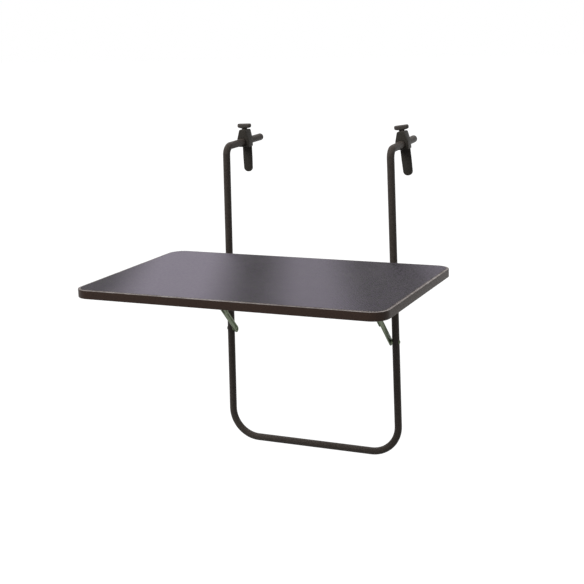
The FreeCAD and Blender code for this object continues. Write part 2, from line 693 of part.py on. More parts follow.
def knob_body(word):
    """Flat-sided thumb knob: head with a flared root, round neck and a blind socket."""
    knob = doc.addObject("PartDesign::Body", f"knob_{word}")
    root_z = size.jaw_top + size.knob_gap + size.knob_neck_height
    head = new_sketch(knob, f"knob_plan_{word}", "XY_Plane", root_z)
    head_reach = (size.knob_length - size.knob_width) / 2
    draw_slot(head, -head_reach, head_reach, size.knob_width / 2)
    pad(knob, head, f"knob_head_{word}", "sizes.knob_height + sizes.knob_flare")
    bevel_edges(knob, f"knob_root_{word}", "sizes.knob_flare", lambda box: box.ZMax < root_z + 0.01)
    neck = new_sketch(knob, f"knob_round_{word}", "XY_Plane", size.jaw_top + size.knob_gap)
    draw_circle(neck, "neck_radius", "sizes.knob_neck_diameter / 2", size.knob_neck_diameter / 2)
    pad(knob, neck, f"knob_neck_{word}", "sizes.knob_neck_height")
    socket = new_sketch(knob, f"knob_hole_{word}", "XY_Plane", size.jaw_top + size.knob_gap)
    draw_circle(socket, "socket_radius", "sizes.screw_diameter / 2 + sizes.pin_gap",
                size.screw_diameter / 2 + size.pin_gap)
    pocket(knob, socket, f"knob_socket_{word}", "sizes.knob_socket", reverse=True)
    return knob


def raised(place, z, turn=0.0):
    """Placement at a height above the arm's centre line, within a clamp."""
    return place.multiply(Placement(Vector(0, 0, z), Rotation(AXIS_Z, turn)))


# Clamps: each a jaw that slides on its arm, a captive nut, and a screw that its knob turns.
for word, side in SIDES.items():
    lean = getattr(size, f"jaw_lean_{word}")
    turned = Rotation(AXIS_Z, side * size.arm_toe_in).multiply(Rotation(AXIS_X, size.arm_rise))
    turned = turned.multiply(Rotation(AXIS_Y, -lean))
    place = Placement(arm_point(side, size.jaw_place), turned)
    jaw = jaw_body(word)
    jaw.Placement = place
    keep(jaw, f"clamp_jaw_{word}")

    seat = raised(place, size.nut_roof - size.nut_height)
    blank = primitive("Prism", f"nut_blank_{word}", seat, Height="sizes.nut_height",
                      Circumradius="sizes.nut_across_flats / 2 / cos(30 deg)")
    blank.Polygon = 6
    thread = primitive("Cylinder", f"nut_thread_{word}", seat, Height="sizes.nut_height",
                       Radius="sizes.screw_diameter / 2 + sizes.pin_gap")
    keep(boolean("Cut", f"nut_{word}", blank, thread), f"clamp_nut_{word}")

    screw_bottom = tube_radius + size.screw_lift
    screw_top = size.jaw_top + size.knob_gap + size.knob_socket
    screw = primitive("Cylinder", f"screw_{word}", raised(place, screw_bottom),
                      Radius="sizes.screw_diameter / 2")
    screw.Height = screw_top - screw_bottom
    keep(screw, f"clamp_screw_{word}")

    knob = knob_body(word)
    knob.Placement = raised(place, 0, getattr(size, f"knob_turn_{word}"))
    keep(knob, f"clamp_knob_{word}")

doc.recompute()
for item in doc.Objects:
    if "Invalid" in item.State or "Error" in item.State:
        raise RuntimeError(f"{item.Name} did not build: {item.State}")
for piece in pieces:
    if piece.Shape.isNull() or not piece.Shape.isValid():
        raise RuntimeError(f"{piece.Label} has no valid shape")
os.makedirs("parts", exist_ok=True)
for piece in pieces:
    piece.Shape.exportStep(f"parts/{piece.Label}.step")
    print(piece.Label, len(piece.Shape.Solids), round(piece.Shape.Volume))
print(len(pieces), "pieces")
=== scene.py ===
import json
import logging
import math
from dataclasses import dataclass, field, replace
from enum import Enum
from typing import Iterable, Sequence

import bmesh
import bpy
from bpy.types import Material, Node, NodeOutputs, NodeSocket, NodeTree, Object
from mathutils import Euler, Matrix, Vector, noise


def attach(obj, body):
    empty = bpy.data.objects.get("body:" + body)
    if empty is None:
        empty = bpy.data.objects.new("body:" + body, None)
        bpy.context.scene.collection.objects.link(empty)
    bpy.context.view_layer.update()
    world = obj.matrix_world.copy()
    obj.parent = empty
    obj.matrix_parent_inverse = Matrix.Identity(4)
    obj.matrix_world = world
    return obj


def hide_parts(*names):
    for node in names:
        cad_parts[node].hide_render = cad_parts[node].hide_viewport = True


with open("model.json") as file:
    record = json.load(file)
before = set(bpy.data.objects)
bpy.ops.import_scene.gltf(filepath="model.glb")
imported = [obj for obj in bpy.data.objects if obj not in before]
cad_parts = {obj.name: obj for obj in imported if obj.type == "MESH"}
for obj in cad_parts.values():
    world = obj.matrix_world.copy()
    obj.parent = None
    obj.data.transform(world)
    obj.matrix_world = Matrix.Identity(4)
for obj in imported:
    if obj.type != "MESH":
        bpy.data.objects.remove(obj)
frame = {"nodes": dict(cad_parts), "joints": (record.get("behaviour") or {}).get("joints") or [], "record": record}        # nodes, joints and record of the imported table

# A small folding table that hangs on a balcony handrail. X runs along the rail, +Y goes over it,
# away from the table, and Z is up. Lengths are in millimetres until a mesh is made.

LOG = logging.getLogger("railing_table")
MM = 0.001
AXIS_X = Vector((1, 0, 0))

Pair = tuple[float, float]
Triple = tuple[float, float, float]
Outline = Sequence[Pair]
Corners = Sequence[Triple]
Colour = Triple

# From the arm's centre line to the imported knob's pivot.
KNOB_SEAT = 30.0
# How far a cutting shape runs past the face that it opens.
CUT_PAST = 1.0


class Side(Enum):
    """The user's left and right, as signs of X."""

    LEFT = -1
    RIGHT = 1

    @property
    def word(self) -> str:
        """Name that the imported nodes, bodies and joints use."""
        return self.name.lower()


# Degrees that the knobs are turned by in the photograph.
KNOB_TURNS = {Side.LEFT: 15.0, Side.RIGHT: 22.0}


class Slot(Enum):
    """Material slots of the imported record."""

    FRAME = "frame_coat"
    SHEET = "mesh_coat"
    ZINC = "zinc_steel"
    PLASTIC = "black_plastic"


def joint(name: str) -> tuple[Vector, Vector]:
    """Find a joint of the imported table.

    Args:
        name: the joint's name in the record.

    Returns:
        Its place, or the origin for a slide, and its axis.
    """
    row = next(item for item in frame["joints"] if item["name"] == name)
    return Vector(row.get("pos_m", (0, 0, 0))) / MM, Vector(row["axis"]).normalized()


def on_arm(side: Side) -> tuple[Vector, Vector, Vector]:
    """Find the arm under a knob.

    Args:
        side: the arm's side.

    Returns:
        The point of its centre line under the knob, the screw's direction and the arm's.
    """
    knob, up = joint(f"knob_turn_{side.word}")
    _, way = joint(f"clamp_slide_{side.word}")
    return knob - up * KNOB_SEAT, up, way


def node_box(node: str, side: Side | None = None) -> tuple[Vector, Vector]:
    """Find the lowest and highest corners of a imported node.

    Args:
        node: the node's name.
        side: the side whose half is meant, or None for all of it.

    Returns:
        The two corners.
    """
    points = [item.co / MM for item in frame["nodes"][node].data.vertices
              if side is None or item.co.x * side.value > 0]
    return (Vector(min(point[axis] for point in points) for axis in range(3)),
            Vector(max(point[axis] for point in points) for axis in range(3)))


def layers(node: str, side: Side) -> Pair:
    """Distances from the midplane to a node's near and far ends on one side."""
    low, high = node_box(node, side)
    return min(abs(low.x), abs(high.x)), max(abs(low.x), abs(high.x))


def linear(value: float) -> float:
    """Linear value of a display value from 0 to 255, by the sRGB curve."""
    share = value / 255
    return share / 12.92 if share <= 0.04045 else ((share + 0.055) / 1.055) ** 2.4


def srgb(red: float, green: float, blue: float) -> Colour:
    """Linear colour of display values from 0 to 255."""
    return linear(red), linear(green), linear(blue)


def bent(corners: Sequence[tuple[Vector, float]], steps: int) -> list[Vector]:
    """Lead an open or a closed line through corners.

    Args:
        corners: place and bend radius of each, in order, with radius 0 for a sharp one.
        steps: chords of each bend.

    Returns:
        The line's points.
    """
    line: list[Vector] = []
    for index, (here, radius) in enumerate(corners):
        if radius <= 0:
            line.append(here)
            continue
        back = (corners[index - 1][0] - here).normalized()
        ahead = (corners[(index + 1) % len(corners)][0] - here).normalized()
        half = back.angle(ahead) / 2
        centre = here + (back + ahead).normalized() * (radius / math.sin(half))
        start = here + back * (radius / math.tan(half)) - centre
        axis = start.cross(here - centre).normalized()
        turn = math.pi - 2 * half
        line += [centre + Matrix.Rotation(turn * step / steps, 3, axis) @ start for step in range(steps + 1)]
    return line


def rounded(corners: Iterable[Triple], steps: int = 5) -> Outline:
    """Closed outline through (x, y, radius) corners, each rounded by its own radius."""
    line = bent([(Vector((x, y, 0)), radius) for x, y, radius in corners], steps)
    return [(point.x, point.y) for point in line]


def both_halves(half: Corners) -> Corners:
    """Corners of a symmetrical outline, from those with positive x in order."""
    return [*half, *((-x, y, radius) for x, y, radius in reversed(half))]


def disc(radius: float, sides: int) -> Outline:
    """Circle about the origin."""
    angles = [math.tau * step / sides for step in range(sides)]
    return [(radius * math.cos(angle), radius * math.sin(angle)) for angle in angles]


def slot_outline(start: float, end: float, radius: float, steps: int = 12) -> Outline:
    """Draw a slot with round ends along x.

    Args:
        start: x of the first end's centre.
        end: x of the other's.
        radius: the ends' radius.
        steps: chords of each end.

    Returns:
        The outline.
    """
    outline: list[Pair] = []
    for centre, first in ((end, -math.pi / 2), (start, math.pi / 2)):
        for step in range(steps + 1):
            angle = first + math.pi * step / steps
            outline.append((centre + radius * math.cos(angle), radius * math.sin(angle)))
    return outline


def lifted(place: Matrix, outline: Outline, height: float) -> list[Vector]:
    """Outline in a placement's XY plane, at a height."""
    return [place @ Vector((x, y, height)) for x, y in outline]


def axes_at(origin: Vector, x_axis: Vector, y_axis: Vector) -> Matrix:
    """Make a placement.

    Args:
        origin: its origin.
        x_axis: its X.
        y_axis: its Y, square to the first.

    Returns:
        The placement, whose Z completes the two.
    """
    place = Matrix((x_axis, y_axis, x_axis.cross(y_axis))).transposed().to_4x4()
    place.translation = origin
    return place


def outward(side: Side, pivot: Vector, slope: float = 0.0) -> Matrix:
    """Make a placement for a flat piece of one side.

    Args:
        side: the piece's side.
        pivot: what its origin on the midplane is level with.
        slope: degrees from +Y up to its X.

    Returns:
        The placement, whose Z leads away from the midplane.
    """
    way = Vector((0, math.cos(math.radians(slope)), math.sin(math.radians(slope))))
    return axes_at(Vector((0, pivot.y, pivot.z)), way, AXIS_X.cross(way) * side.value)


@dataclass
class Shell:
    """Faces in millimetres, which become one mesh object in metres."""

    points: list[Vector] = field(default_factory=list)
    faces: list[tuple[int, ...]] = field(default_factory=list)

    def loft(self, rings: Sequence[Sequence[Vector]], closed: bool = False) -> None:
        """Skin successive rings of equal count.

        Args:
            rings: the rings, in order.
            closed: True where the last ring meets the first; open ends get a face each.
        """
        first = len(self.points)
        count = len(rings[0])
        for ring in rings:
            self.points.extend(ring)
        for span in range(len(rings) if closed else len(rings) - 1):
            low = first + span * count
            high = first + (span + 1) % len(rings) * count
            for step in range(count):
                following = (step + 1) % count
                self.faces.append((low + step, low + following, high + following, high + step))
        if not closed:
            self.faces.append(tuple(range(first + count - 1, first - 1, -1)))
            self.faces.append(tuple(range(len(self.points) - count, len(self.points))))

    def turn(self, place: Matrix, profile: Outline, segments: int = 32) -> None:
        """Revolve a profile about a placement's Z.

        Args:
            place: the placement.
            profile: (radius, height) points from end to end.
            segments: faces around.
        """
        self.loft([lifted(place, disc(radius, segments), height) for radius, height in profile])

    def extrude(self, place: Matrix, outline: Outline, low: float, high: float) -> None:
        """Prism of an outline in a placement's XY plane, between two heights."""
        self.loft([lifted(place, outline, height) for height in (low, high)])

    def piece(self, name: str, edge: float = 0.0, edge_steps: int = 2, sharp: float = 40.0,
              merge: bool = True) -> Object:
        """Make the mesh object.

        Args:
            name: the piece's name.
            edge: radius of the rounded edges, or 0 to leave them.
            edge_steps: faces across each rounded edge.
            sharp: degrees above which an edge is rounded or shades sharp.
            merge: True to join points that share a place.

        Returns:
            The object, in the scene.
        """
        mesh = bpy.data.meshes.new(name)
        mesh.from_pydata([point * MM for point in self.points], [], self.faces)
        work = bmesh.new()
        work.from_mesh(mesh)
        if merge:
            bmesh.ops.remove_doubles(work, verts=work.verts, dist=1e-6)
        bmesh.ops.recalc_face_normals(work, faces=work.faces)
        if edge:
            corners = [item for item in work.edges
                       if item.is_manifold and item.calc_face_angle() > math.radians(sharp)]
            bmesh.ops.bevel(work, geom=corners, offset=edge * MM, segments=edge_steps, profile=0.5,
                            affect="EDGES", clamp_overlap=True)
        for item in work.faces:
            item.smooth = True
        work.to_mesh(mesh)
        work.free()
        mesh.set_sharp_from_angle(angle=math.radians(sharp))
        made = bpy.data.objects.new(name, mesh)
        bpy.context.scene.collection.objects.link(made)
        return made


def combine(base: Object, others: Sequence[Object], operation: str) -> None:
    """Merge or cut closed pieces into one clean mesh.

    Args:
        base: the piece that keeps the result.
        others: the pieces that are used up.
        operation: UNION or DIFFERENCE.
    """
    for other in others:
        step = base.modifiers.new("combine", "BOOLEAN")
        step.operation = operation
        step.solver = "EXACT"
        step.object = other
        graph = bpy.context.evaluated_depsgraph_get()
        result = bpy.data.meshes.new_from_object(base.evaluated_get(graph))
        base.modifiers.remove(step)
        spent = base.data
        base.data = result
        bpy.data.meshes.remove(spent)
        bpy.data.meshes.remove(other.data)
    work = bmesh.new()
    work.from_mesh(base.data)
    bmesh.ops.remove_doubles(work, verts=work.verts, dist=2e-6)
    bmesh.ops.dissolve_degenerate(work, edges=work.edges, dist=2e-6)
    work.to_mesh(base.data)
    work.free()


@dataclass
class Graph:
    """Small helper that adds and links nodes of one tree."""

    tree: NodeTree

    def feed(self, node: Node, sources: dict[int | str, object]) -> Node:
        """Give a node's inputs their sources.

        Args:
            node: the node.
            sources: the output, value or colour that each input gets.

        Returns:
            The node.
        """
        for key, source in sources.items():
            if isinstance(source, NodeSocket):
                self.tree.links.new(source, node.inputs[key])
            else:
                node.inputs[key].default_value = (*source, 1.0) if isinstance(source, tuple) else source
        return node

    def add(self, kind: str, sources: dict[int | str, object] | None = None, **settings: object) -> Node:
        """Add a node.

        Args:
            kind: the node's class.
            sources: what its inputs get.
            settings: its properties.

        Returns:
            The node.
        """
        node = self.tree.nodes.new(kind)
        for name, value in settings.items():
            setattr(node, name, value)
        return self.feed(node, sources or {})

    def group(self, tree: NodeTree, **values: float) -> Node:
        """Add a shared group, with values of its own."""
        return self.add("ShaderNodeGroup", values, node_tree=tree)

    def math(self, operation: str, *sources: object) -> NodeSocket:
        """Output of a Math node over up to three sources."""
        return self.add("ShaderNodeMath", dict(enumerate(sources)), operation=operation).outputs[0]

    def span(self, *sources: object) -> NodeSocket:
        """Value carried smoothly from a low and a high to two others, and held at its ends."""
        node = self.add("ShaderNodeMapRange", dict(enumerate(sources)), interpolation_type="SMOOTHSTEP")
        return node.outputs[0]

    def mix(self, share: object, first: object, second: object) -> NodeSocket:
        """Colour between two others."""
        return self.add("ShaderNodeMix", {0: share, 6: first, 7: second}, data_type="RGBA").outputs[2]

    def noise(self, cells: object, detail: float, rough: float = 0.5) -> NodeSocket:
        """Value of a noise that stays with the object, in cells per metre."""
        sources = {"Vector": self.add("ShaderNodeTexCoord").outputs["Object"], "Scale": cells,
                   "Detail": detail, "Roughness": rough}
        return self.add("ShaderNodeTexNoise", sources).outputs["Fac"]


def new_group(name: str, inputs: dict[str, float],
              *outputs: str) -> tuple[Graph, NodeOutputs, Node]:
    """Start a shader node group.

    Args:
        name: the group's name.
        inputs: default of each number that it takes.
        outputs: names of the numbers that it gives.

    Returns:
        Its graph, what it is given and its output node.
    """
    tree = bpy.data.node_groups.new(name, "ShaderNodeTree")
    for word, value in inputs.items():
        socket = tree.interface.new_socket(name=word, in_out="INPUT", socket_type="NodeSocketFloat")
        socket.default_value = value
    for word in outputs:
        tree.interface.new_socket(name=word, in_out="OUTPUT", socket_type="NodeSocketFloat")
    graph = Graph(tree)
    return graph, graph.add("NodeGroupInput").outputs, graph.add("NodeGroupOutput")


@dataclass
class Effects:
    """Node groups that several finishes share, each built once. Cells are per millimetre."""

    pebble_share: float = 0.25
    speckle_share: float = 0.65
    drift_share: float = 0.1
    edge_facing: Pair = (0.99, 0.86)
    rub_cells: float = 0.35
    rub_range: Pair = (0.42, 0.62)
    dust_slope: float = 0.6
    dust_cells: float = 0.03
    dust_range: Pair = (0.3, 0.75)
    dust_least: float = 0.3

    def __post_init__(self) -> None:
        """Build every group."""
        self.build_grain()
        self.build_wear()
        self.build_dust()
        self.build_gleam()

    def build_grain(self) -> None:
        """Fine pebbled surface, with a coarser speckle and slow drifts in its tone."""
        graph, given, out = new_group("surface_grain", {"Cell": 0.6, "Speckle": 5.0, "Drift": 60.0},
                                      "Height", "Tone")
        cell, speckle, drift = (graph.math("DIVIDE", 1 / MM, given[word])
                                for word in ("Cell", "Speckle", "Drift"))
        pebble = graph.noise(cell, 2.0)
        tone = graph.math("MULTIPLY", pebble, self.pebble_share)
        tone = graph.math("MULTIPLY_ADD", graph.noise(speckle, 1.0), self.speckle_share, tone)
        tone = graph.math("MULTIPLY_ADD", graph.noise(drift, 3.0, 0.6), self.drift_share, tone)
        graph.feed(out, {"Height": pebble, "Tone": tone})
        self.grain = graph.tree

    def build_wear(self) -> None:
        """Mask of edges that handling has rubbed."""
        graph, given, out = new_group("edge_wear", {"Radius": 0.8, "Amount": 0.5}, "Mask")
        radius = graph.math("MULTIPLY", given["Radius"], MM)
        bevel = graph.add("ShaderNodeBevel", {"Radius": radius}, samples=4)
        normal = graph.add("ShaderNodeNewGeometry").outputs["Normal"]
        facing = graph.add("ShaderNodeVectorMath", {0: bevel.outputs[0], 1: normal}, operation="DOT_PRODUCT")
        edge = graph.span(facing.outputs["Value"], *self.edge_facing, 0.0, 1.0)
        broken = graph.span(graph.noise(self.rub_cells / MM, 4.0, 0.7), *self.rub_range, 0.0, 1.0)
        rubbed = graph.math("MULTIPLY", edge, broken)
        graph.feed(out, {"Mask": graph.math("MULTIPLY", rubbed, given["Amount"])})
        self.wear = graph.tree

    def build_dust(self) -> None:
        """Mask of surfaces that face up: thin settled dust on most finishes, and a painted highlight along
        the rim's top and upper rounded edge.
        """
        graph, given, out = new_group("settled_dust", {"Amount": 0.3, "Level": 0.95}, "Mask")
        normal = graph.add("ShaderNodeNewGeometry").outputs["Normal"]
        up = graph.add("ShaderNodeSeparateXYZ", {0: normal}).outputs["Z"]
        least = graph.math("SUBTRACT", given["Level"], self.dust_slope)
        level = graph.span(up, least, given["Level"], 0.0, 1.0)
        patch = graph.span(graph.noise(self.dust_cells / MM, 5.0, 0.65), *self.dust_range,
                           self.dust_least, 1.0)
        settled = graph.math("MULTIPLY", level, patch)
        graph.feed(out, {"Mask": graph.math("MULTIPLY", settled, given["Amount"])})
        self.dust = graph.tree

    def build_gleam(self) -> None:
        """Mask of one broad band of painted reflection: a bright stripe, as the sky between a row of railing
        posts shows in a glossy coat.
        """
        graph, given, out = new_group(
            "broad_gleam", {"Middle": 0.0, "Full": 20.0, "Fade": 120.0, "Slant": 0.45}, "Mask")
        place = graph.add("ShaderNodeTexCoord").outputs["Object"]
        parts = graph.add("ShaderNodeSeparateXYZ", {0: place}).outputs
        slanted = graph.math("MULTIPLY_ADD", parts["Y"], given["Slant"], parts["X"])
        offset = graph.math("SUBTRACT", graph.math("DIVIDE", slanted, MM), given["Middle"])
        away = graph.math("ABSOLUTE", offset)
        graph.feed(out, {"Mask": graph.span(away, given["Full"], given["Fade"], 1.0, 0.0)})
        self.gleam = graph.tree


@dataclass(frozen=True)
class Finish:
    """A finish: a colour that drifts, grain, wear, dust, a painted highlight on the rim's faces that face up,
    and perhaps broad bands of painted reflection.

    Each band of painted reflection is its middle, the half widths where it is full and gone, and its
    strength.
    """

    name: str
    slot: Slot
    dark: Colour
    light: Colour
    worn: Colour
    # Colour of the painted reflection that the bands lay on the coat.
    gleam: Colour = (0.2, 0.2, 0.2)
    bands: tuple[tuple[float, float, float, float], ...] = ()
    band_drop: float = 0.12
    dust_colour: Colour = srgb(150, 145, 140)
    tone_range: Pair = (0.35, 0.65)
    cell: float = 0.6
    speckle: float = 5.0
    drift: float = 60.0
    depth: float = 0.02
    rough: Pair = (0.38, 0.5)
    dust_rough: float = 0.3
    wear: float = 0.5
    wear_radius: float = 0.7
    dust: float = 0.1
    dust_level: float = 0.95
    metallic: float = 0.0
    mirroring: float = 0.2

    def material(self, effects: Effects) -> Material:
        """Build the material.

        Args:
            effects: the shared node groups.

        Returns:
            The material, ready for a slot.
        """
        made = bpy.data.materials.new(self.name)
        made.use_nodes = True
        graph = Graph(made.node_tree)
        shader = made.node_tree.nodes["Principled BSDF"]
        grain = graph.group(effects.grain, Cell=self.cell, Speckle=self.speckle, Drift=self.drift)
        wear = graph.group(effects.wear, Radius=self.wear_radius, Amount=self.wear)
        dust = graph.group(effects.dust, Amount=self.dust, Level=self.dust_level)
        tone = graph.span(grain.outputs["Tone"], *self.tone_range, 0.0, 1.0)
        body = graph.mix(tone, self.dark, self.light)
        # Each band lays painted reflection: a lighter colour along a slanted stripe, in place of the sky's
        # reflection between posts.
        for middle, full, fade, strength in self.bands:
            reflection_band = graph.group(effects.gleam, Middle=middle, Full=full, Fade=fade)
            level = graph.span(tone, 0.0, 1.0, strength - self.band_drop, strength)
            body = graph.mix(graph.math("MULTIPLY", reflection_band.outputs["Mask"], level), body, self.gleam)
        rubbed = graph.mix(wear.outputs["Mask"], body, self.worn)
        # On most finishes this mask is thin dust; where it is strong, as on the rim, it lays a painted
        # highlight.
        dust_and_highlight_mask = dust.outputs["Mask"]
        smooth = graph.span(tone, 0.0, 1.0, *self.rough)
        bump = graph.add("ShaderNodeBump", {"Strength": 1.0, "Distance": self.depth * MM,
                                            "Height": grain.outputs["Height"]})
        graph.feed(shader, {
            "Base Color": graph.mix(dust_and_highlight_mask, rubbed, self.dust_colour),
            "Roughness": graph.math("MULTIPLY_ADD", dust_and_highlight_mask, self.dust_rough, smooth),
            "Normal": bump.outputs["Normal"], "Metallic": self.metallic,
            "Specular IOR Level": self.mirroring})
        return made


FRAME_COAT = Finish("frame_powder_coat", Slot.FRAME, srgb(59, 53, 49), srgb(72, 66, 61), srgb(104, 96, 90),
                    speckle=3.0, wear=0.35, dust=0.03, mirroring=0.1)
# The rim has the frame's coat in a darker, browner copy: partly its own tone, partly painted shade that keeps
# its front face dark under the front lamp.
RIM_COAT = replace(FRAME_COAT, name="rim_powder_coat", dark=srgb(46, 33, 27), light=srgb(56, 42, 35),
                   # On the rim the dust mask is mostly a painted highlight: a pale band along its top and
                   # upper rounded edge, in place of the sky's reflection.
                   worn=srgb(120, 112, 108), dust_colour=srgb(158, 152, 150), dust=0.85, dust_level=0.9,
                   mirroring=0.15)
# The sheet's bands are painted reflection: bright stripes of sky between railing posts, fixed in its colour.
SHEET_COAT = Finish("sheet_powder_coat", Slot.SHEET, srgb(6, 4, 8), srgb(58, 52, 62), srgb(118, 113, 122),
                    gleam=srgb(106, 100, 112), cell=0.5, speckle=6.0, drift=90.0, rough=(0.34, 0.66),
                    wear=0.15, wear_radius=0.3, dust=0.04, mirroring=0.42,
                    bands=((-275.0, 40.0, 155.0, 1.0), (-2.0, 12.0, 115.0, 0.66),
                           (300.0, 30.0, 110.0, 0.45)))
ZINC = Finish("zinc_plate", Slot.ZINC, srgb(90, 103, 76), srgb(114, 125, 97), srgb(146, 147, 132),
              cell=0.35, speckle=2.0, drift=14.0, depth=0.008, rough=(0.34, 0.5), wear=0.6, dust=0.03,
              metallic=0.55, mirroring=0.5)
PLASTIC = Finish("moulded_plastic", Slot.PLASTIC, srgb(53, 50, 46), srgb(64, 61, 56), srgb(84, 80, 75),
                 cell=0.4, speckle=2.0, drift=25.0, depth=0.012, rough=(0.42, 0.55), wear=0.3,
                 wear_radius=1.0, dust=0.05, mirroring=0.1)
HANDLED_PLASTIC = replace(PLASTIC, name="handled_plastic", dark=srgb(66, 61, 57), light=srgb(80, 75, 71),
                          worn=srgb(100, 95, 90), rough=(0.38, 0.5), wear=0.5, mirroring=0.15)
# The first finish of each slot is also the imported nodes' own.
FINISHES = (FRAME_COAT, RIM_COAT, SHEET_COAT, ZINC, PLASTIC, HANDLED_PLASTIC)


class Workshop:
    """Makes the finishes, and gives each piece its body and material."""

    def __init__(self) -> None:
        """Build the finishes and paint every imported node, so that none is left plain."""
        effects = Effects()
        self.materials = {finish.name: finish.material(effects) for finish in FINISHES}
        self.made = 0
        plain = {finish.slot.value: finish for finish in reversed(FINISHES)}
        slots = {row["node"]: row["material_slot"] for row in frame["record"]["subparts"]}
        for name, item in frame["nodes"].items():
            self.paint(item, plain[slots[name]])

    def paint(self, item: Object, finish: Finish) -> None:
        """Put a finish on an object."""
        item.data.materials.clear()
        item.data.materials.append(self.materials[finish.name])

    def fit(self, item: Object, body: str, finish: Finish, *nodes: str) -> None:
        """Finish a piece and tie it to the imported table.

        Args:
            item: the piece.
            body: the body that it rides on.
            finish: its finish, which names the record's slot.
            nodes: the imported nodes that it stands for.
        """
        self.paint(item, finish)
        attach(item, body)
        if nodes:
            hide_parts(*nodes)
        self.made += 1
        LOG.info("%s rides on %s, %d faces", item.name, body, len(item.data.polygons))


@dataclass(frozen=True)
class Rivet:
    """Rivet along X on each side, with a near and a far head, or none where the height is 0.

    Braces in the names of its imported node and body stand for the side. The dome holds shares of a
    head's radius and height, from its crown to its rim.
    """

    name: str
    node: str
    body: str
    finish: Finish
    near_head: float
    far_head: float
    shank_radius: float = 2.5
    head_radius: float = 4.5
    dome: Outline = ((0.0, 1.0), (0.35, 0.95), (0.64, 0.75), (0.85, 0.45), (1.0, 0.12), (1.0, 0.0))

    def build(self, shop: Workshop, side: Side) -> None:
        """Build one side's rivet.

        Args:
            shop: where it is finished.
            side: the side.
        """
        node = self.node.format(side.word)
        start, end = node_box(node, side)
        near, far = layers(node, side)
        ends: list[list[Pair]] = []
        for seat, rise in ((near + self.near_head, -self.near_head), (far - self.far_head, self.far_head)):
            dome = [(self.head_radius * wide, seat + rise * tall) for wide, tall in self.dome]
            ends.append([*(dome if rise else [(0.0, seat)]), (self.shank_radius, seat)])
        shell = Shell()
        shell.turn(outward(side, (start + end) / 2), ends[0] + ends[1][::-1])
        shop.fit(shell.piece(f"{self.name}_{side.word}"), self.body.format(side.word), self.finish, node)


RIVETS = (Rivet("hinge_rivet", "hinge_pins", "frame", FRAME_COAT, 1.1, 1.8),
          Rivet("foot_rivet", "stay_foot_rivets", "frame", ZINC, 1.6, 1.8),
          Rivet("head_rivet", "stay_head_rivets", "tabletop", ZINC, 1.4, 0.9),
          Rivet("knee_pin", "knee_rivet_{}", "lower_link_{}", ZINC, 0.0, 0.0),
          Rivet("knee_head", "knee_rivet_head_{}", "upper_link_{}", ZINC, 1.4, 0.0))


@dataclass
class HangingFrame:
    """Bent tube with two hooked arms, two legs and a foot bar, and its end plugs."""

    shop: Workshop
    tube_radius: float = 7.4
    tube_sides: int = 40
    bend_steps: int = 18
    leg_line: float = 7.0
    arm_reach: float = 142.6
    hook_bend: float = 17.0
    foot_half_spacing: float = 185.7
    foot_bar_depth: float = 605.4
    foot_bend: float = 58.0
    cap_length: float = 4.8
    cap_nose: float = 3.6
    cap_seam: float = 0.3
    cap_inset: float = 0.05
    cap_flat: float = 0.35
    cap_steps: int = 8

    def on_line(self, side: Side, y: float) -> Vector:
        """Point of an arm's centre line at a given y."""
        centre, _, way = on_arm(side)
        return centre + way * ((y - centre.y) / way.y)

    def build_tube(self) -> None:
        """Tube as one skin round its centre line, from tip to tip."""
        foot_corners = [Vector((side.value * self.foot_half_spacing, -self.leg_line, -self.foot_bar_depth))
                        for side in Side]
        corners = [(self.on_line(Side.LEFT, self.arm_reach), 0.0),
                   (self.on_line(Side.LEFT, -self.leg_line), self.hook_bend),
                   *((corner, self.foot_bend) for corner in foot_corners),
                   (self.on_line(Side.RIGHT, -self.leg_line), self.hook_bend),
                   (self.on_line(Side.RIGHT, self.arm_reach), 0.0)]
        line = bent(corners, self.bend_steps)
        rings = []
        across = (line[1] - line[0]).orthogonal()
        for index, here in enumerate(line):
            before = (here - line[max(index - 1, 0)]).normalized()
            after = (line[min(index + 1, len(line) - 1)] - here).normalized()
            way = (before + after).normalized()
            across = (across - way * across.dot(way)).normalized()
            place = axes_at(here, across, way.cross(across))
            rings.append(lifted(place, disc(self.tube_radius, self.tube_sides), 0.0))
        shell = Shell()
        shell.loft(rings)
        self.shop.fit(shell.piece("bent_tube"), "frame", FRAME_COAT, "u_frame_tube")

    def build_cap(self, side: Side) -> None:
        """Plastic plug at an arm's end, flush with the tube and rounded off.

        Args:
            side: the arm's side.
        """
        _, _, way = on_arm(side)
        across = (AXIS_X - way * AXIS_X.dot(way)).normalized()
        wide = self.tube_radius - self.cap_inset
        seat = self.tube_radius - self.cap_seam
        shoulder = self.cap_length - self.cap_nose
        profile = [(0.0, -self.cap_seam), (seat, -self.cap_seam), (seat, self.cap_seam / 2),
                   (wide, self.cap_seam), (wide, shoulder)]
        for step in range(1, self.cap_steps):
            angle = math.pi / 2 * step / self.cap_steps
            profile.append((wide * (self.cap_flat + (1 - self.cap_flat) * math.cos(angle)),
                            shoulder + self.cap_nose * math.sin(angle)))
        profile.append((0.0, self.cap_length))
        place = axes_at(self.on_line(side, self.arm_reach), across, way.cross(across))
        shell = Shell()
        shell.turn(place, profile, self.tube_sides)
        self.shop.fit(shell.piece(f"rear_cap_{side.word}"), "frame", PLASTIC, "arm_caps")

    def build(self) -> None:
        """Build every piece of the frame."""
        self.build_tube()
        for side in Side:
            self.build_cap(side)


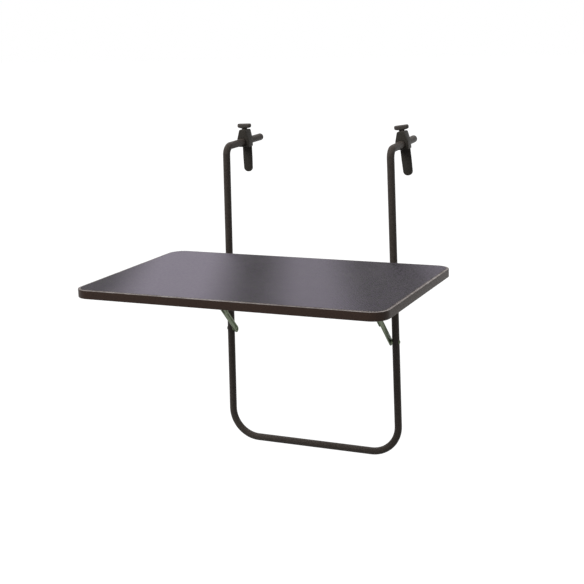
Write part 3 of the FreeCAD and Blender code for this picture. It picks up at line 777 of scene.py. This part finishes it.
@dataclass
class TableTop:
    """Rim of square tube, expanded-metal sheet, the bars under it, ears and brackets."""

    shop: Workshop
    rim_width: float = 15.0
    rim_edges: tuple[float, float, float, float] = (1.2, 2.0, 2.0, 0.7)
    rim_drop: float = 1.0
    corner_radius: float = 30.0
    corner_steps: int = 14
    long_pitch: float = 8.4
    short_pitch: float = 4.6
    strand: float = 1.35
    strand_thickness: float = 1.0
    strand_lean: float = 0.5
    sheet_rise: float = 1.0
    sheet_inset: float = 4.8
    bead_radius: float = 1.5
    bead_radius_spread: float = 0.3
    bead_shift: float = 0.6
    bead_least: float = 0.85
    bead_growth: float = 0.25
    bead_sink: float = 0.3
    bead_sides: int = 10
    bar_edge: float = 1.6
    ear_radius: float = 9.0
    ear_corner: float = 8.82
    ear_heel: float = 5.4
    ear_neck: float = 1.8
    ear_inset: float = 1.0
    ear_edge: float = 0.5
    ear_clearance: float = 0.3
    bracket_lobe: float = 7.0
    bracket_corner: float = 5.6
    bracket_step: float = 3.5
    bracket_thick: float = 2.2
    bracket_edge: float = 0.4

    def __post_init__(self) -> None:
        """Read the rim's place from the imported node, and fit the strands in."""
        self.low, self.high = node_box("top_rim")
        self.centre = (self.low + self.high) / 2
        self.half = (self.high - self.low) / 2
        self.rim_top = self.high.z
        self.sheet_top = self.rim_top + self.sheet_rise
        self.half_rows = int((self.half.y - self.sheet_inset) / (self.short_pitch / 2))

    def ring(self, inset: float, z: float) -> list[Vector]:
        """Draw one closed line along the rim.

        Args:
            inset: its distance from the rim's outside.
            z: its height.

        Returns:
            The line's points.
        """
        corners = both_halves([(self.half.x - inset, sign * (self.half.y - inset), self.corner_radius - inset)
                               for sign in (-1, 1)])
        middle = Matrix.Translation((self.centre.x, self.centre.y, 0.0))
        return lifted(middle, rounded(corners, self.corner_steps), z)

    def build_rim(self) -> None:
        """Square tube bent round four corners, as one closed ring."""
        bottom = self.low.z - self.rim_drop
        corners = ((0, bottom), (self.rim_width, bottom), (self.rim_width, self.rim_top), (0, self.rim_top))
        section = rounded((*corner, edge) for corner, edge in zip(corners, self.rim_edges))
        shell = Shell()
        shell.loft([self.ring(inset, z) for inset, z in section], closed=True)
        self.shop.fit(shell.piece("rim_ring"), "tabletop", RIM_COAT, "top_rim")

    def reach(self, y: float) -> float:
        """Find where a strand ends.

        Args:
            y: its distance from the sheet's middle.

        Returns:
            Half its length.
        """
        half_x = self.half.x - self.sheet_inset
        half_y = self.half.y - self.sheet_inset
        radius = self.corner_radius - self.sheet_inset
        past = y - (half_y - radius)
        if past <= 0:
            return half_x
        return half_x - radius + math.sqrt(max(radius ** 2 - past ** 2, 0.0))

    def build_sheet(self) -> None:
        """Expanded metal on top of the rim: zigzag strands that meet the next ones at their bonds."""
        step = self.long_pitch / 2
        spacing = self.short_pitch / 2
        section = ((-0.5, -1.0), (0.5, -1.0), (0.5, 0.0), (-0.5, 0.0))
        shell = Shell()
        for row in range(-self.half_rows, self.half_rows):
            middle = (row + 0.5) * spacing
            reach = self.reach(abs(middle) + spacing / 2)
            count = int(reach / step)
            rings = []
            for x in [-reach] + [item * step for item in range(-count, count + 1)] + [reach]:
                wave = abs((x / step + row) % 2 - 1) * 2 - 1
                y = self.centre.y + middle + wave * spacing / 2
                rings.append([Vector((
                    self.centre.x + x, y + across * self.strand,
                    self.sheet_top + (across - 0.5) * self.strand_lean + tall * self.strand_thickness))
                    for across, tall in section])
            shell.loft(rings)
        sheet = shell.piece("expanded_sheet", sharp=30, merge=False)
        self.shop.fit(sheet, "tabletop", SHEET_COAT, "mesh_panel")

    def build_beads(self) -> None:
        """Spots of weld where the sheet's edge meets the rim's top."""
        edge_y = self.half_rows * self.short_pitch / 2
        count_x = int((self.half.x - self.corner_radius) / self.long_pitch)
        count_y = int((self.half.y - self.corner_radius) / self.long_pitch)
        spots = [(item * self.long_pitch, sign * edge_y)
                 for item in range(-count_x, count_x + 1) for sign in (-1, 1)]
        spots += [(sign * (self.half.x - self.sheet_inset), item * self.long_pitch)
                  for item in range(-count_y, count_y + 1) for sign in (-1, 1)]
        shell = Shell()
        for x, y in spots:
            wobble = noise.cell_vector((x, y, 0.0)) - Vector((0.5, 0.5, 0.5))
            radius = self.bead_radius * (1 + self.bead_radius_spread * wobble.x)
            tall = self.sheet_rise * (self.bead_least + self.bead_growth * wobble.y)
            place = Matrix.Translation((self.centre.x + x + self.bead_shift * wobble.z, self.centre.y + y,
                                        self.rim_top))
            shell.turn(place, [(0.0, tall), (radius * 0.6, tall * 0.8), (radius, tall * 0.15),
                               (radius, -self.bead_sink), (0.0, -self.bead_sink)], self.bead_sides)
        self.shop.fit(shell.piece("weld_spots", sharp=80), "tabletop", RIM_COAT)

    def build_bar(self, side: Side) -> None:
        """Square bar under the sheet, from the rim's rear to its front.

        Args:
            side: the bar's side.
        """
        low, high = node_box(f"under_bar_{side.word}")
        corners = ((low.x, low.z), (high.x, low.z), (high.x, self.rim_top), (low.x, self.rim_top))
        outline = rounded([(*corner, self.bar_edge) for corner in corners], 4)
        shell = Shell()
        shell.loft([[Vector((x, y, z)) for x, z in outline] for y in (low.y, high.y)])
        self.shop.fit(shell.piece(f"cross_bar_{side.word}"), "tabletop", FRAME_COAT,
                      f"under_bar_{side.word}")

    def build_ear(self, side: Side) -> None:
        """Ear that carries the table on its hinge pin.

        Args:
            side: the ear's side.
        """
        node = f"hinge_ear_{side.word}"
        pivot, _ = joint("tabletop_fold")
        low, _ = node_box(node)
        near, far = layers(node, side)
        radius = self.ear_radius
        top = self.low.z - pivot.z
        rear = self.high.y - pivot.y - self.ear_inset
        corners = [(low.y - pivot.y, top, 0), (rear, top, 0), (rear / 2, radius, self.ear_neck),
                   (radius, radius, self.ear_corner), (radius, -radius, self.ear_corner),
                   (-radius, -radius, self.ear_heel)]
        outline = [(y, side.value * z) for y, z in rounded(corners, 8)]
        shell = Shell()
        shell.extrude(outward(side, pivot), outline, near, far - self.ear_clearance)
        self.shop.fit(shell.piece(f"ear_plate_{side.word}", edge=self.ear_edge), "tabletop", FRAME_COAT, node)

    def build_bracket(self, side: Side) -> None:
        """Bracket of the stay's upper pivot: a plate with a foot under the bar.

        Args:
            side: the bracket's side.
        """
        node = f"stay_bracket_{side.word}"
        pivot, _ = joint(f"stay_head_pivot_{side.word}")
        low, high = node_box(node)
        near, far = layers(node, side)
        half = (high.y - low.y) / 2
        bottom = node_box(f"under_bar_{side.word}")[0].z - pivot.z
        thick = self.bracket_thick
        plate_corners = both_halves([
            (self.bracket_lobe, -self.bracket_lobe, self.bracket_corner),
            (half, bottom - self.bracket_step, self.bracket_step), (half, high.z - pivot.z, 1.0)])
        foot_corners = both_halves([(half, bottom - thick, 0), (half, bottom, 0)])
        parts = []
        for name, corners, start, end in ((f"bracket_plate_{side.word}", plate_corners, far - thick, far),
                                          ("bracket_foot", foot_corners, near, far - thick / 2)):
            shell = Shell()
            outline = [(y, side.value * z) for y, z in rounded(corners, 6)]
            shell.extrude(outward(side, pivot), outline, start, end)
            parts.append(shell.piece(name, edge=self.bracket_edge))
        combine(parts[0], parts[1:], "UNION")
        self.shop.fit(parts[0], "tabletop", FRAME_COAT, node)

    def build(self) -> None:
        """Build every piece of the top."""
        self.build_rim()
        self.build_sheet()
        self.build_beads()
        for side in Side:
            self.build_bar(side)
            self.build_ear(side)
            self.build_bracket(side)


@dataclass
class Stay:
    """Folding stay of one side: a channel from the leg to the knee, and a flat link up to the table.

    An edge is the (inset, height) points that round it, measured from the face that it starts on.
    """

    shop: Workshop
    side: Side
    foot_slope: float = 135.0
    head_slope: float = -45.0
    wide: float = 13.5
    web: float = 1.2
    web_fillet: float = 0.4
    clearance: float = 0.45
    flange: float = 3.4
    flange_edge: float = 0.3
    back_edge: Outline = ((0.9, 0.0), (0.3, 0.3), (0.0, 1.0))
    foot_end: float = -3.0
    flat_wide: float = 12.0
    flat_back_edge: float = 0.5
    flat_edge: Outline = ((0.0, 0.6), (0.2, 0.2), (0.6, 0.0))
    tail: float = 35.6
    groove_lip: float = 3.1
    groove_edge: Outline = ((-0.5, 0.0), (0.0, 0.2), (0.8, 1.1))

    def __post_init__(self) -> None:
        """Read the pivots, and halve the way between them, which is either link's length."""
        self.foot, _ = joint(f"stay_foot_pivot_{self.side.word}")
        self.head, _ = joint(f"stay_head_pivot_{self.side.word}")
        self.reach = math.hypot(self.foot.y - self.head.y, self.foot.z - self.head.z) / 2

    def build_channel(self) -> None:
        """Lower link: a pressed channel whose flanges face the midplane."""
        node = f"stay_lower_link_{self.side.word}"
        near, far = layers(node, self.side)
        far -= self.clearance
        inner = far - self.web
        flange = self.flange
        edge = self.flange_edge
        rings = [(inset, far - drop) for inset, drop in self.back_edge]
        rings += [(0.0, near + edge), (edge, near), (flange - edge, near), (flange, near + edge),
                  (flange, inner - self.web_fillet), (flange + self.web_fillet, inner)]
        place = outward(self.side, self.foot, self.foot_slope)
        shell = Shell()
        shell.loft([lifted(place, slot_outline(self.foot_end, self.reach, self.wide / 2 - inset), height)
                    for inset, height in rings])
        self.shop.fit(shell.piece(f"channel_link_{self.side.word}"), f"lower_link_{self.side.word}", ZINC,
                      node)

    def build_flat(self) -> None:
        """Upper link: a flat bar with a pressed groove, which runs on past the knee."""
        node = f"stay_upper_link_{self.side.word}"
        near, far = layers(node, self.side)
        radius = self.flat_wide / 2
        end = self.reach + self.tail - radius
        rings = [(self.flat_back_edge, far), (0.0, far - self.flat_back_edge)]
        rings += [(inset, near + rise) for inset, rise in self.flat_edge]
        rings += [(self.groove_lip + inset, near + rise) for inset, rise in self.groove_edge]
        place = outward(self.side, self.head, self.head_slope)
        shell = Shell()
        shell.loft([lifted(place, slot_outline(0, end, radius - inset), height) for inset, height in rings])
        self.shop.fit(shell.piece(f"flat_link_{self.side.word}"), f"upper_link_{self.side.word}", ZINC, node)

    def build(self) -> None:
        """Build every piece of the stay."""
        self.build_channel()
        self.build_flat()


@dataclass
class Clamp:
    """Clamp of one arm: a moulded jaw with a tongue, a thumb knob and its screw.

    Heights are above the arm's centre line. The jaw's rear and front are given by their half widths
    at the bottom and at the top.
    """

    shop: Workshop
    side: Side
    depth: float = 22.0
    jaw_bottom: float = -10.8
    jaw_shoulder: float = 5.0
    jaw_top: float = 24.8
    jaw_corners: Triple = (1.5, 9.0, 3.0)
    jaw_rear: Pair = (12.6, 8.8)
    jaw_front: Pair = (13.2, 7.3)
    jaw_edge: float = 1.6
    bore_radius: float = 7.6
    bore_mouth: float = 0.6
    tongue_width: float = 20.5
    tongue_tip: float = 19.0
    tongue_root: float = -6.0
    tongue_waist: float = -35.01
    tongue_bend: float = 20.0
    tongue_corner: float = 8.74
    tongue_thickness: float = 4.5
    tongue_length: float = 64.3
    tongue_step: float = 0.25
    tongue_edge: float = 1.0
    nut_corner: float = 5.9
    nut_roof: float = 13.5
    screw_bore: Outline = ((0.0, 1.0), (3.2, 1.0), (3.2, 23.9), (4.4, 25.1), (4.4, 26.0), (0.0, 26.0))
    knob_base: float = 25.0
    knob_neck: float = 11.0
    neck_height: float = 2.0
    neck_fillet: float = 0.4
    knob_length: float = 29.0
    knob_width: float = 13.4
    knob_height: float = 9.5
    # Share of the height, and the insets of the ends and of the sides there.
    knob_profile: Corners = (
        (0.0, 8.4, 1.2), (0.04, 6.6, 0.9), (0.08, 4.4, 0.6), (0.12, 2.7, 0.35), (0.18, 1.4, 0.1),
        (0.26, 0.6, 0.0), (0.38, 0.15, 0.0), (0.6, 0.0, 0.1), (0.78, 0.15, 0.4), (0.87, 0.5, 1.0),
        (0.94, 1.0, 1.7), (0.98, 1.7, 2.5), (1.0, 2.7, 3.6))
    screw_top: float = 31.0
    screw_foot: float = 7.3
    screw_pitch: float = 1.0
    screw_crest: float = 3.0
    screw_root: float = 2.5
    screw_fade: float = 0.8
    screw_taper: float = 0.3
    screw_sides: int = 24
    screw_turn_steps: int = 4

    def __post_init__(self) -> None:
        """Place the clamp on its arm: Y along the arm, Z along the screw, and its front view."""
        centre, up, way = on_arm(self.side)
        self.place = axes_at(centre, way.cross(up), way)
        self.front = self.place @ Matrix.Rotation(math.pi / 2, 4, "X")

    def block(self) -> Object:
        """Make the jaw's block, which is drawn in to a narrow top.

        Returns:
            The block, still solid.
        """
        bottom, shoulder, top = self.jaw_corners
        rings = []
        for height, (low, high) in ((-self.depth / 2, self.jaw_rear), (self.depth / 2, self.jaw_front)):
            corners = both_halves([(low, self.jaw_bottom, bottom), (low, self.jaw_shoulder, shoulder),
                                   (high, self.jaw_top, top)])
            rings.append(lifted(self.front, rounded(corners, 6), height))
        shell = Shell()
        shell.loft(rings)
        return shell.piece(f"jaw_block_{self.side.word}", edge=self.jaw_edge, edge_steps=4, sharp=50)

    def tongue(self) -> Object:
        """Make the tongue that hangs behind the rail.

        Returns:
            The tongue alone, with its root in the block.
        """
        wide = self.tongue_width / 2
        outline = rounded(both_halves([
            (wide, self.tongue_root, 0), (wide, self.tongue_waist, self.tongue_bend),
            (self.tongue_tip / 2, -self.tongue_length, self.tongue_corner)]), 12)
        shell = Shell()
        shell.extrude(self.front, outline, self.tongue_step - self.depth / 2,
                      self.tongue_thickness - self.depth / 2)
        return shell.piece("tongue", edge=self.tongue_edge, edge_steps=3, sharp=50)

    def cutters(self) -> list[Object]:
        """Make the shapes that cut the block.

        Returns:
            The arm's bore with its bell mouths, the nut's seat and the screw's bore.
        """
        reach = self.depth / 2
        mouth = self.bore_mouth
        half = [(self.bore_radius, reach - mouth), (self.bore_radius + mouth, reach),
                (self.bore_radius + 2 * mouth, reach + CUT_PAST), (0.0, reach + CUT_PAST)]
        bore = Shell()
        bore.turn(self.front, [(radius, -height) for radius, height in reversed(half)] + half, 48)
        seat = Shell()
        seat.turn(self.place, [(0.0, 0.0), (self.nut_corner, 0.0), (self.nut_corner, self.nut_roof),
                                 (0.0, self.nut_roof)], 6)
        screw = Shell()
        screw.turn(self.place, self.screw_bore)
        return [bore.piece("arm_bore"), seat.piece("nut_seat"), screw.piece("screw_bore")]

    def build_jaw(self) -> None:
        """Jaw: the block and the tongue as one moulding, with a bore for the arm."""
        jaw = self.block()
        combine(jaw, [self.tongue()], "UNION")
        combine(jaw, self.cutters(), "DIFFERENCE")
        jaw.data.set_sharp_from_angle(angle=math.radians(40))
        self.shop.fit(jaw, f"jaw_{self.side.word}", PLASTIC, f"clamp_jaw_{self.side.word}")

    def build_knob(self) -> None:
        """Thumb knob: flat sides, full rounded edges, a flared root and a round neck."""
        place = self.place @ Matrix.Rotation(math.radians(KNOB_TURNS[self.side]), 4, "Z")
        root = self.knob_base + self.neck_height
        rings = [(height, self.knob_neck, self.knob_neck)
                 for height in (self.knob_base, root - self.neck_fillet)]
        rings += [(root + self.knob_height * share, self.knob_length - 2 * end, self.knob_width - 2 * flank)
                  for share, end, flank in self.knob_profile]
        shell = Shell()
        shell.loft([lifted(place, slot_outline((width - length) / 2, (length - width) / 2, width / 2), height)
                    for height, length, width in rings])
        self.shop.fit(shell.piece(f"thumb_knob_{self.side.word}", sharp=55), f"knob_{self.side.word}",
                      HANDLED_PLASTIC, f"clamp_knob_{self.side.word}")

    def build_screw(self) -> None:
        """Screw with a rolled helical thread."""
        length = self.screw_top - self.screw_foot
        steps = int(length / self.screw_pitch * self.screw_turn_steps)
        rings = []
        for step in range(steps + 1):
            z = self.screw_foot + length * step / steps
            fade = min(1.0, (z - self.screw_foot) / self.screw_fade, (self.screw_top - z) / self.screw_fade)
            core = self.screw_root - self.screw_taper * (1 - fade)
            ring = []
            for item, (x, y) in enumerate(disc(1.0, self.screw_sides)):
                wave = abs(((z / self.screw_pitch - item / self.screw_sides) % 1) * 2 - 1)
                radius = core + (self.screw_crest - self.screw_root) * wave * fade
                ring.append(self.place @ Vector((radius * x, radius * y, z)))
            rings.append(ring)
        shell = Shell()
        shell.loft(rings)
        self.shop.fit(shell.piece(f"thumb_screw_{self.side.word}", sharp=60), f"screw_{self.side.word}",
                      ZINC, f"clamp_screw_{self.side.word}")

    def build(self) -> None:
        """Build every piece of the clamp."""
        self.build_jaw()
        self.build_knob()
        self.build_screw()


@dataclass(frozen=True)
class Lamp:
    """Soft distant lamp, which the coats don't mirror: where it shines from, and how strongly."""

    name: str
    source: Triple
    strength: float
    softness: float

    def hang(self) -> None:
        """Add the lamp to the scene."""
        light = bpy.data.lights.new(self.name, "SUN")
        light.energy = self.strength
        light.angle = math.radians(self.softness)
        item = bpy.data.objects.new(self.name, light)
        item.visible_glossy = False
        item.rotation_euler = Vector(self.source).to_track_quat("Z", "Y").to_euler()
        bpy.context.scene.collection.objects.link(item)


LAMPS = (Lamp("sky_light", (-0.3, 0.35, 0.9), 0.4, 25.0),
         Lamp("fill_light", (-0.5, -0.7, 0.9), 2.5, 40.0))


@dataclass
class Studio:
    """Pale floor, soft light and the camera at the photograph's angle."""

    floor_depth: float = 1000.0
    floor_half: float = 30000.0
    floor_tone: float = 0.1
    floor_white: float = 0.96
    dim: float = 0.2
    from_behind: float = 0.45
    behind_range: Pair = (-0.5, 0.7)
    from_above: float = 0.35
    above_range: Pair = (-0.05, 0.9)
    lens: float = 73.65
    sensor: float = 36.0
    view_end: float = 200.0
    camera_at: Triple = (936.1, -2155.6, 261.9)
    camera_turn: Triple = (76.918, 1.755, 24.017)
    half_pixel: float = 0.5 / 584

    def seen(self, graph: Graph) -> NodeSocket:
        """Tell the rays that show in the picture from those that only light the table.

        Args:
            graph: the world's or the floor's.

        Returns:
            1 for rays from the camera, straight, mirrored or through glass, else 0.
        """
        path = graph.add("ShaderNodeLightPath")
        mirrored = graph.math("MAXIMUM", path.outputs["Is Glossy Ray"], path.outputs["Is Transmission Ray"])
        return graph.math("MAXIMUM", path.outputs["Is Camera Ray"], mirrored)

    def build_world(self) -> None:
        """White surroundings, whose own light is soft and strongest from above and behind."""
        world = bpy.data.worlds.new("studio")
        bpy.context.scene.world = world
        world.use_nodes = True
        graph = Graph(world.node_tree)
        way = graph.add("ShaderNodeTexCoord").outputs["Generated"]
        parts = graph.add("ShaderNodeSeparateXYZ", {0: way}).outputs
        behind = graph.span(parts["Y"], *self.behind_range, 0.0, self.from_behind)
        above = graph.span(parts["Z"], *self.above_range, self.dim, self.dim + self.from_above)
        seen = self.seen(graph)
        unseen = graph.math("SUBTRACT", 1.0, seen)
        strength = graph.math("MULTIPLY_ADD", graph.math("ADD", behind, above), unseen, seen)
        graph.feed(world.node_tree.nodes["Background"], {"Color": (1.0, 1.0, 1.0), "Strength": strength})

    def build_floor(self) -> None:
        """Floor far below the table, as under a balcony's handrail."""
        half = self.floor_half
        shell = Shell([Vector((x * half, y * half, -self.floor_depth))
                       for x, y in ((-1, -1), (1, -1), (1, 1), (-1, 1))], [(0, 1, 2, 3)])
        floor = shell.piece("studio_floor")
        material = bpy.data.materials.new("pale_floor")
        material.use_nodes = True
        graph = Graph(material.node_tree)
        graph.feed(material.node_tree.nodes["Principled BSDF"], {
            "Base Color": (self.floor_tone,) * 3, "Roughness": 1.0, "Specular IOR Level": 0.0,
            "Emission Color": (1.0, 1.0, 1.0),
            "Emission Strength": graph.math("MULTIPLY", self.seen(graph), self.floor_white)})
        floor.data.materials.append(material)

    def build_camera(self) -> None:
        """Camera that frames the table as the photograph does."""
        camera = bpy.data.cameras.new("photo_camera")
        camera.sensor_width = self.sensor
        camera.lens = self.lens
        camera.shift_y = self.half_pixel
        camera.clip_end = self.view_end
        item = bpy.data.objects.new("photo_camera", camera)
        item.location = Vector(self.camera_at) * MM
        item.rotation_euler = Euler([math.radians(turn) for turn in self.camera_turn], "XYZ")
        bpy.context.scene.collection.objects.link(item)
        bpy.context.scene.camera = item

    def build(self) -> None:
        """Set the studio up."""
        bpy.context.scene.view_settings.view_transform = "Standard"
        self.build_world()
        self.build_floor()
        for lamp in LAMPS:
            lamp.hang()
        self.build_camera()


def main() -> None:
    """Build the studio and every sub-assembly."""
    logging.basicConfig(level=logging.INFO, format="%(name)s: %(message)s")
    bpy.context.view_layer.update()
    shop = Workshop()
    Studio().build()
    HangingFrame(shop).build()
    TableTop(shop).build()
    for side in Side:
        Stay(shop, side).build()
        Clamp(shop, side).build()
        for rivet in RIVETS:
            rivet.build(shop, side)
    LOG.info("%d pieces made", shop.made)


if __name__ == "__main__":
    main()
